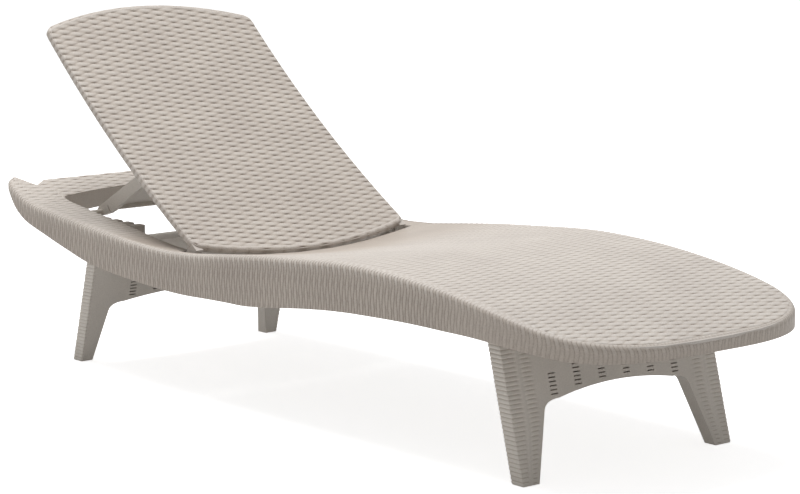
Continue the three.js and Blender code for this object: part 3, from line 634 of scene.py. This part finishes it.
def opening_half(x):
    if x >= POCKET_X:
        return POCKET_HALF
    return mix(OPENING_HALF, OPENING_HINGE_HALF, share(OPENING_SPLAY_X, POCKET_X, x))


def rail_place(side, u, v):
    x = mix(RAIL_START, RAIL_END, u)
    y = mix(opening_half(x) + EDGE_CLEAR, half_width(x) - EDGE_RADIUS + UNDERLAP, v)
    return faded(x, side * y, ramp(1, RAIL_BORDER, v))


for name, side in SIDES:
    sheet(f"rail_weave_{name}", RAIL_ROWS, RAIL_COLUMNS, partial(rail_place, side), UP, down,
          woven_resin_painted_shade)


# Woven crossbar and horns

CROSSBAR_ROWS = 96
CROSSBAR_COLUMNS = 200
HORN_BORDER = 0.006
HORN_BLEND = 0.01
HORN_PRESS = 0.25               # flatter on the horns, where the lowered backrest lies
HEAD_INSET = [point for point in INSET if point.x < RAIL_START]
HEAD_INSET_YS = [point.y for point in HEAD_INSET]


def outer_end(y):
    """Where the inner edge of the roll reaches this place across the horn."""
    return HEAD_INSET[min(bisect_right(HEAD_INSET_YS, y), len(HEAD_INSET) - 1)].x


def notch_end(y):
    if y < NOTCH_CORNER_HALF:
        return mix(NOTCH_X, NOTCH_CORNER_X, share(NOTCH_INNER_HALF, NOTCH_CORNER_HALF, y))
    return mix(NOTCH_CORNER_X, -HALF_LENGTH, share(NOTCH_CORNER_HALF, NOTCH_END_HALF, y))


def opening_end(y):
    inner = OPENING_HALF - OPENING_CORNER
    if y < inner:
        return OPENING_HEAD_X + OPENING_BOW * (y / inner) ** 2
    t = 1 - sqrt(max(1 - (y - inner) / OPENING_CORNER, 0))
    return OPENING_HEAD_X + OPENING_BOW + OPENING_CORNER * t * t


def crossbar_place(u, v):
    y = (2 * v - 1) * HEAD_INSET_YS[-1]
    away = abs(y)
    by_roll = away > HEAD_INSET_YS[0]
    head = outer_end(away) if by_roll else notch_end(away)
    x = mix(head + EDGE_CLEAR, opening_end(away) - EDGE_CLEAR, u)
    border = ramp(0, HORN_BORDER, x - head) if by_roll else 1
    on_horn = ramp(NOTCH_CORNER_HALF - HORN_BLEND, NOTCH_CORNER_HALF + HORN_BLEND, away)
    return on_deck(x, y, border, mix(1, HORN_PRESS, on_horn))


sheet("crossbar_weave", CROSSBAR_ROWS, CROSSBAR_COLUMNS, crossbar_place, UP, down, woven_resin_painted_shade)


# Rolled edge and ribbed skirt round the deck

ROLL_COLUMNS = 8
SKIRT_COLUMNS = 38
BRAID_DEPTH = 0.016             # a braided band lies under the roll, upright ribs below it
BRAID_LEAN = 0.0034
RIB_LEAN = 0.0010
RIBS_LEAN_FROM = (1, 2)         # counted in stakes below the roll, the braid being the first
# painted shade on the roll and skirt: how far the grooves of braid and ribs are darkened, and the
# painted level of each band, darker down the sideways skirt than on the roll and lighter towards
# the foot
BRAID_CONTRAST = 0.72
RIB_CONTRAST = 0.32
RIBS_CONTRAST_FROM = (0.8, 1.5)
ROLL_SHADE = 0.7
SKIRT_SHADE = 0.36
FOOT_SHADE = 0.47
SKIRT_SHADE_TURNS = (0.2, 0.9)
FOOT_PLACES = (0.5, 0.8)        # over these shares of half the length the ribs grow fainter
FOOT_FAINTNESS = 0.55


@lru_cache(maxsize=None)
def skirt_station(u):
    point, out = along_outline(u * OUTLINE_LENGTH)
    return point, out, min(EDGE_RADIUS, skirt_depth(point.x) / 2)


def skirt_place(side, u, v):
    point, out, radius = skirt_station(u)
    column = v * (ROLL_COLUMNS + SKIRT_COLUMNS)
    turn = share(0, ROLL_COLUMNS, column) * pi / 2
    down_share = share(ROLL_COLUMNS, ROLL_COLUMNS + SKIRT_COLUMNS, column)
    depth = skirt_depth(point.x)
    inner = point - out * radius
    top = deck_top(inner.x, side * inner.y) - radius
    foot = crease(point.x) - depth
    z = mix(top, foot, down_share) + radius * cos(turn)
    below = radius * turn + down_share * (depth - radius)
    braid = below / BRAID_DEPTH
    stake = braid if braid < 1 else 1 + (below - BRAID_DEPTH) / STAKE
    lean = mix(BRAID_LEAN, RIB_LEAN, ramp(*RIBS_LEAN_FROM, stake)) * sin(pi * stake)
    across = u * OUTLINE_LENGTH + lean
    raised = weave(across, stake, SKIRT_STRAND, 1, SKIRT_HALF, SKIRT_SWELL, SKIRT_UNDER)
    by_foot = ramp(*FOOT_PLACES, point.x / HALF_LENGTH)
    fainter = mix(1, FOOT_FAINTNESS, by_foot)
    push = LIFT + SKIRT_RELIEF * fainter * raised
    flat = inner + out * ((radius + push) * sin(turn))
    # painted shade: the skirt darker than the roll, lighter towards the foot
    ribs_shade = mix(SKIRT_SHADE, FOOT_SHADE, by_foot)
    shade = mix(ROLL_SHADE, ribs_shade, ramp(*SKIRT_SHADE_TURNS, turn))
    contrast = fainter * mix(BRAID_CONTRAST, RIB_CONTRAST, ramp(*RIBS_CONTRAST_FROM, stake))
    return Vector((flat.x, side * flat.y, z + push * cos(turn))), mix(shade, raised, contrast)


def under_skirt(point):
    """The rim of the roll turns down into the deck, the foot of the skirt turns in under it."""
    if point.z > crease(point.x) - skirt_depth(point.x) / 2:
        return UP * (-TURN_DOWN / 2)
    if abs(point.y) < FOOT_TIP_HALF and point.x > 0:
        return Vector((-TURN_DOWN, 0, 0))
    return Vector((0, -TURN_DOWN if point.y > 0 else TURN_DOWN, 0))


skirt_rows = ROWS_PER_STRAND * round(OUTLINE_LENGTH / SKIRT_STRAND)
for name, side in SIDES:
    sheet(f"skirt_ribs_{name}", skirt_rows, ROLL_COLUMNS + SKIRT_COLUMNS,
          partial(skirt_place, side), Vector((0, side, 0)), under_skirt, woven_resin_painted_shade)


# Ribbed legs: strands wound round the outer edge, and a stake up the face that looks out

FACE_COLUMNS = 20
CORNER_COLUMNS = 3
SIDE_COLUMNS = 12
LEG_COLUMNS = (FACE_COLUMNS, CORNER_COLUMNS, SIDE_COLUMNS, CORNER_COLUMNS, FACE_COLUMNS)
LEG_FOOT_CLEAR = 0.001
LEG_SKIN_SHARE = 0.95
# painted shade in the grooves between the wound strands
LEG_CONTRAST = 0.65
LEG_STAKE_LEVEL = 0.75
LEG_FOOT_FADE = 0.004
LEG_INNER_FADE = (0.97, 1)
LEG_TUCK = 0.001
STRAND_FADE = 0.08
STRAND_END_FADE = 0.12
OUTWARD_FACE = (0.40, 0.54, 0.90)    # where the outer strands, the stake and the inner strands
INWARD_FACE = (0.13, 0.13, 0.13)     # end, as shares of the leg's width in from its outer edge


def wound(z, inwards_share, shares):
    """How far the winding is raised at a share of the leg's width in from its outer edge, and
    how much of it is strands."""
    first, second, last = shares
    strand = z / LEG_STRAND
    if inwards_share < first:
        fade = min((first - inwards_share) / STRAND_FADE, 1)
    elif inwards_share < second:
        middle = (first + second) / 2
        return LEG_STAKE_LEVEL * rounded((inwards_share - middle) / (second - middle)), 0
    elif inwards_share < last:
        from_stake, to_end = inwards_share - second, last - inwards_share
        fade = min(from_stake / STRAND_FADE, to_end / STRAND_END_FADE, 1)
        strand += 0.5
    else:
        return 0, 0
    return rounded(2 * (strand % 1) - 1) * sqrt(fade), fade


def leg_middle(end, sign):
    return sign * (HALF_LENGTH - LEG_INSETS[end])


def leg_top(end, sign):
    return crease(leg_middle(end, sign)) - LEG_SEAT_DROPS[end] - LEG_FLANGE


def leg_place(end, sign, side, u, v):
    z = mix(LEG_FOOT_CLEAR, leg_top(end, sign), u)
    width = (LEG_WIDTHS[end] + LEG_TAPER_SHARES[end] * min(z, LEG_SHOULDER)) * LEG_SKIN_SHARE
    column = v * sum(LEG_COLUMNS)
    index = 0
    while index < len(LEG_COLUMNS) - 1 and column > LEG_COLUMNS[index]:
        column -= LEG_COLUMNS[index]
        index += 1
    run = column / LEG_COLUMNS[index]
    inwards, along, turn = (
        (width * (1 - run), -1, -pi / 2),
        (0, -1, mix(-pi / 2, 0, run)),
        (0, mix(-1, 1, run), 0),
        (0, 1, mix(0, pi / 2, run)),
        (width * run, 1, pi / 2),
    )[index]
    shares = OUTWARD_FACE if along * sign > 0 else INWARD_FACE
    raised, strands = wound(z, inwards / width * LEG_SKIN_SHARE, shares)
    ends = ramp(0, LEG_FOOT_FADE, z) * (1 - ramp(*LEG_INNER_FADE, inwards / width))
    push = LIFT + LEG_RELIEF * raised * ends
    middle = leg_middle(end, sign) - sign * LEG_RAKE_SHARE * z
    x = middle + along * LEG_THICKNESS / 2 + push * sin(turn)
    y = LEG_FRAME_HALF - inwards + push * cos(turn)
    # painted shade in the grooves of the winding
    return Vector((x, side * y, z)), mix(1, raised, LEG_CONTRAST * strands)


def into_leg(end, sign, point):
    middle = leg_middle(end, sign) - sign * LEG_RAKE_SHARE * point.z
    x = LEG_TUCK if point.x < middle else -LEG_TUCK
    return Vector((x, -LEG_TUCK if point.y > 0 else LEG_TUCK, 0))


for end, sign in ENDS:
    leg_rows = ROWS_PER_STRAND * round(leg_top(end, sign) / LEG_STRAND)
    for name, side in SIDES:
        sheet(f"leg_ribs_{end}_{name}", leg_rows, sum(LEG_COLUMNS),
              partial(leg_place, end, sign, side), Vector((0, side, 0)),
              partial(into_leg, end, sign), leg_ribs_painted_light_and_shade)


# Woven face of the backrest, wrapped round its edge

BOARD_ROWS = 650
BOARD_COLUMNS = 148
ROUND_COLUMNS = 8
WRAP = 5                        # rows and columns past each edge
TURN_ROWS = 3                   # of them, those that go round the edge, before the others go down
SIDE_OUT = 0.0004
SIDE_RELIEF_SHARE = 0.5
SIDE_RAISED = 0.6
BACK_TUCK = 0.0005
BOARD_SHADE = 0.8


def across_board(column, half):
    """The place across the board of a column, and how far round a corner it lies, from 0 to 1."""
    side = 1 if 2 * column > BOARD_COLUMNS else -1
    from_side = min(column, BOARD_COLUMNS - column) - WRAP
    corner = BOARD_CORNER - WRAP_RADIUS
    if from_side < ROUND_COLUMNS:
        round_share = 1 - max(from_side, 0) / ROUND_COLUMNS
        return side * (half - corner * (1 - round_share) ** 2), round_share
    inner_share = (from_side - ROUND_COLUMNS) / (BOARD_COLUMNS / 2 - WRAP - ROUND_COLUMNS)
    return side * (half - corner) * (1 - inner_share), 0


def out_of_board(past_row, past_column, side, u, foot_out, head_out):
    """The direction in which the skin goes past the edge: sideways, or out of an end."""
    if past_column or not past_row:
        return Vector((0, side, 0))
    out, sign = (head_out, 1) if u > 0.5 else (foot_out, -1)
    return Vector((sign * out.x, side * out.y, 0))


def board_place(u, v):
    row, column = u * BOARD_ROWS, v * BOARD_COLUMNS
    past_row = max(WRAP - row, row - BOARD_ROWS + WRAP, 0)
    past_column = max(WRAP - column, column - BOARD_COLUMNS + WRAP, 0)
    y, round_share = across_board(column, BOARD_BOTTOM_HALF - WRAP_RADIUS)
    side = 1 if y > 0 else -1
    foot_edge, foot_out = end_edge(y, BOARD_BOTTOM_HALF, round_share)
    head_edge, head_out = end_edge(y, BOARD_TOP_HALF, round_share)
    low = WRAP_RADIUS - foot_edge
    high = BOARD_LENGTH - WRAP_RADIUS + head_edge
    t = mix(low, high, share(WRAP, BOARD_ROWS - WRAP, row))
    y *= mix(1, BOARD_TOP_HALF / BOARD_BOTTOM_HALF, share(0, BOARD_LENGTH, t))
    bead = rounded(2 * min(t - low, high - t) / BOARD_STRAND - 1)
    raised = max(weave(t + waver(y), y, BOARD_STRAND, STAKE), bead)

    past = max(past_row, past_column)
    outwards = out_of_board(past_row, past_column, side, u, foot_out, head_out)
    turn_share = min(past / TURN_ROWS, 1)
    turn = turn_share * pi / 2
    down_share = max(past - TURN_ROWS, 0) / (WRAP - TURN_ROWS)
    reach = (WRAP_RADIUS + SIDE_OUT + BOARD_RELIEF * SIDE_RELIEF_SHARE * raised) * sin(turn)
    depth = WRAP_RADIUS * (1 - cos(turn)) + down_share * (WRAP_DEPTH - WRAP_RADIUS)
    raised = mix(raised, max(raised, SIDE_RAISED), turn_share)

    base = from_board(t, y, -sag(t))
    normal = from_board(t, y, 1 - sag(t)) - base
    hit = board_tree.ray_cast(base + normal * PROBE, -normal, 2 * PROBE)[0]
    lift = 0.0 if hit is None else max((hit - base).dot(normal), 0)
    height = lift + LIFT + BOARD_RELIEF * raised * (1 - turn_share)
    point = from_board(t + outwards.x * reach, y + outwards.y * reach, height - sag(t) - depth)
    return point, BOARD_SHADE * raised


board_normal = (from_board(0, 0, 1) - from_board(0, 0, 0)).normalized()


def behind(point):
    return board_normal * -BACK_TUCK


sheet("backrest_weave", BOARD_ROWS, BOARD_COLUMNS, board_place, board_normal, behind,
      woven_resin_painted_shade, body="backrest")


# Floor, light and camera

FLOOR_SIZE = 60
FLOOR_GREY = 0.8
FLOOR_ROUGHNESS = 0.9
FLOOR_GLOW = 0.74               # makes the pale floor look white to the camera alone
SKY_STRENGTH = 0.34
SKY_GLOW = 0.66                 # brings the sky to 1, white, for the camera alone
LAMP_PLACE = Vector((-1.3, -0.2, 6.0))
LAMP_TARGET = Vector((0, 0, 0.3))
LAMP_SIZE = 4.0
LAMP_POWER = 335
CAMERA_PLACE = (4.2140, -3.4658, 1.2162)
CAMERA_TILT = radians(80.7596)
CAMERA_HEADING = radians(50.0982)
LENS_MM = 117
SENSOR_MM = 36


def seen_directly(tree):
    """1 for what the camera sees, straight or through a mirror or glass, and 0 for other light."""
    path = tree.nodes.new("ShaderNodeLightPath")
    rays = ("Is Camera Ray", "Is Glossy Ray", "Is Transmission Ray")
    straight, glossy, through = (Signal(tree, path.outputs[ray]) for ray in rays)
    seen = straight + glossy + through
    return seen.node("ShaderNodeClamp", {"Value": seen})


def floor_finish():
    material, tree, shader = start("pale_floor")
    shader.inputs["Base Color"].default_value = (FLOOR_GREY, FLOOR_GREY, FLOOR_GREY, 1)
    shader.inputs["Roughness"].default_value = FLOOR_ROUGHNESS
    shader.inputs["Emission Color"].default_value = (1, 1, 1, 1)
    (seen_directly(tree) * FLOOR_GLOW).into(shader, "Emission Strength")
    return material


floor_mesh = bmesh.new()
bmesh.ops.create_grid(floor_mesh, x_segments=1, y_segments=1, size=FLOOR_SIZE / 2)
floor_piece = mesh_piece("floor", floor_mesh, floor_finish())

scene = bpy.context.scene
scene.view_settings.view_transform = "Standard"

world = bpy.data.worlds.new("studio")
scene.world = world
world.use_nodes = True
sky = world.node_tree.nodes["Background"]
sky.inputs["Color"].default_value = (1, 1, 1, 1)
(seen_directly(world.node_tree) * SKY_GLOW + SKY_STRENGTH).into(sky, "Strength")

lamp = bpy.data.lights.new("overhead_lamp", "AREA")
lamp.shape = "SQUARE"
lamp.size = LAMP_SIZE
lamp.energy = LAMP_POWER
lamp_holder = linked("overhead_lamp", lamp)
lamp_holder.location = LAMP_PLACE
lamp_holder.rotation_euler = (LAMP_TARGET - LAMP_PLACE).to_track_quat("-Z", "Y").to_euler()

lens = bpy.data.cameras.new("camera")
lens.lens = LENS_MM
lens.sensor_width = SENSOR_MM
lens.sensor_fit = "HORIZONTAL"
camera = linked("camera", lens)
camera.location = CAMERA_PLACE
camera.rotation_euler = (CAMERA_TILT, 0, CAMERA_HEADING)
scene.camera = camera
